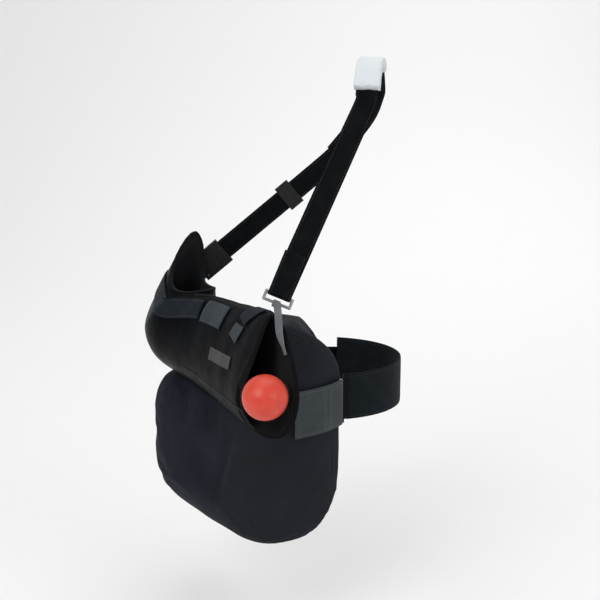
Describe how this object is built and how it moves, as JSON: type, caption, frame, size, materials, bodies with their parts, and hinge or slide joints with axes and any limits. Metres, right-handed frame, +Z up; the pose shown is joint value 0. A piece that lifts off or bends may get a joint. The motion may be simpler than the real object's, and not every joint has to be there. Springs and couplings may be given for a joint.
{
  "type": "arm sling",
  "caption": "Shoulder sling for a right arm: closed forearm pouch on a crescent abduction pillow, padded shoulder strap, waist strap and exercise ball.",
  "frame": {"origin": "the point where the shoulder strap rests on the wearer's left shoulder", "axes": "+Z up, -Y the way the wearer faces, +X the wearer's left"},
  "size_m": [0.3943, 0.4764, 0.695],
  "materials": {
    "black_laminate": "glossy laminate",
    "charcoal_fabric": "brushed",
    "foam": "open cell",
    "lining": "knit",
    "binding": "woven",
    "webbing": "woven",
    "strap_cloth": "woven",
    "tab_cloth": "brushed",
    "leg_webbing": "woven",
    "pad_cloth": "knit",
    "hook_loop": "hook and loop",
    "label": "woven",
    "black_plastic": "satin",
    "metal": "satin",
    "ball_red": "satin"
  },
  "bodies": {
    "pouch": {"pouch_outer": "black_laminate", "pouch_inner": "black_laminate", "pouch_lining": "lining", "hand_binding": "binding", "arm_binding": "binding", "pouch_label": "label", "pouch_hook_patch": "hook_loop", "shoulder_strap": "webbing", "elbow_socket": "black_plastic", "elbow_strap": "strap_cloth", "wrist_ring": "metal", "wrist_strap": "strap_cloth", "inner_leg": "leg_webbing", "ball_dot": "hook_loop"},
    "pad": {"pad_cover": "pad_cloth", "pad_foam": "foam"},
    "slider": {"strap_slider": "black_plastic"},
    "elbow_plug": {"elbow_plug": "black_plastic"},
    "elbow_prong_a": {"elbow_prong_a": "black_plastic"},
    "elbow_prong_b": {"elbow_prong_b": "black_plastic"},
    "elbow_tab": {"elbow_tab": "tab_cloth"},
    "wrist_tab": {"wrist_tab": "tab_cloth"},
    "pillow": {"pillow_cover": "charcoal_fabric", "pillow_core": "foam", "pillow_loop_patch": "hook_loop", "waist_loop_patch": "hook_loop", "zip_tape": "webbing", "waist_strap": "strap_cloth", "waist_tail": "webbing", "waist_socket": "black_plastic", "waist_rear_webbing": "webbing"},
    "zip_slider": {"zip_slider": "metal"},
    "zip_pull": {"zip_pull": "metal"},
    "waist_tab": {"waist_tab": "tab_cloth"},
    "waist_plug": {"waist_plug": "black_plastic"},
    "waist_prong_a": {"waist_prong_a": "black_plastic"},
    "waist_prong_b": {"waist_prong_b": "black_plastic"},
    "ball": {"exercise_ball": "ball_red"}
  },
  "joints": [
    {"name": "ball_pull", "type": "slide", "parent": "pouch", "child": "ball", "axis": [0.3712, -0.9285, 0], "range_m": [0, 0.08]},
    {"name": "pad_shift", "type": "hinge", "parent": "pouch", "child": "pad", "pos_m": [0, 0, -0.075], "axis": [-0.9903, 0.1392, 0], "range_deg": [-7, 7]},
    {"name": "slider_travel", "type": "slide", "parent": "pouch", "child": "slider", "axis": [0.7679, 0.0746, 0.6362], "range_m": [-0.08, 0.03]},
    {"name": "elbow_release", "type": "slide", "parent": "pouch", "child": "elbow_plug", "axis": [0.7679, 0.0746, 0.6362], "range_m": [0, 0.03]},
    {"name": "elbow_prong_a_press", "type": "hinge", "parent": "elbow_plug", "child": "elbow_prong_a", "pos_m": [-0.23411, 0.09437, -0.3192], "axis": [-0.0574, 0.9972, -0.0476], "range_deg": [0, 8], "stiffness_Nm_per_rad": 0.02},
    {"name": "elbow_prong_b_press", "type": "hinge", "parent": "elbow_plug", "child": "elbow_prong_b", "pos_m": [-0.24879, 0.09437, -0.30149], "axis": [-0.0574, 0.9972, -0.0476], "range_deg": [-8, 0], "stiffness_Nm_per_rad": 0.02},
    {"name": "elbow_tab_peel", "type": "hinge", "parent": "pouch", "child": "elbow_tab", "pos_m": [-0.24128, -0.10866, -0.33581], "axis": [-0.4354, -0.3694, -0.821], "range_deg": [0, 50]},
    {"name": "wrist_tab_peel", "type": "hinge", "parent": "pouch", "child": "wrist_tab", "pos_m": [-0.18467, -0.2234, -0.32542], "axis": [-0.3626, 0.9319, -0.0092], "range_deg": [0, 60]},
    {"name": "pillow_detach", "type": "slide", "parent": "pouch", "child": "pillow", "axis": [0.9285, 0.3712, 0], "range_m": [0, 0.03]},
    {"name": "zip_travel", "type": "slide", "parent": "pillow", "child": "zip_slider", "axis": [0, 0, -1], "range_m": [0, 0.08]},
    {"name": "zip_pull_swing", "type": "hinge", "parent": "zip_slider", "child": "zip_pull", "pos_m": [-0.19754, 0.10216, -0.52], "axis": [0.9976, 0.0698, 0], "range_deg": [0, 110]},
    {"name": "waist_tab_peel", "type": "hinge", "parent": "pillow", "child": "waist_tab", "pos_m": [-0.04246, -0.11446, -0.473], "axis": [0, 0, 1], "range_deg": [0, 70]},
    {"name": "waist_release", "type": "slide", "parent": "pillow", "child": "waist_plug", "axis": [1, 0, 0], "range_m": [0, 0.026]},
    {"name": "waist_prong_a_press", "type": "hinge", "parent": "waist_plug", "child": "waist_prong_a", "pos_m": [-0.1004, 0.102, -0.4845], "axis": [0, 1, 0], "range_deg": [0, 8], "stiffness_Nm_per_rad": 0.02},
    {"name": "waist_prong_b_press", "type": "hinge", "parent": "waist_plug", "child": "waist_prong_b", "pos_m": [-0.1004, 0.102, -0.4615], "axis": [0, 1, 0], "range_deg": [-8, 0], "stiffness_Nm_per_rad": 0.02}
  ],
  "couplings": [
    {"joint": "elbow_prong_b_press", "follows": "elbow_prong_a_press", "ratio": -1},
    {"joint": "waist_prong_b_press", "follows": "waist_prong_a_press", "ratio": -1}
  ]
}
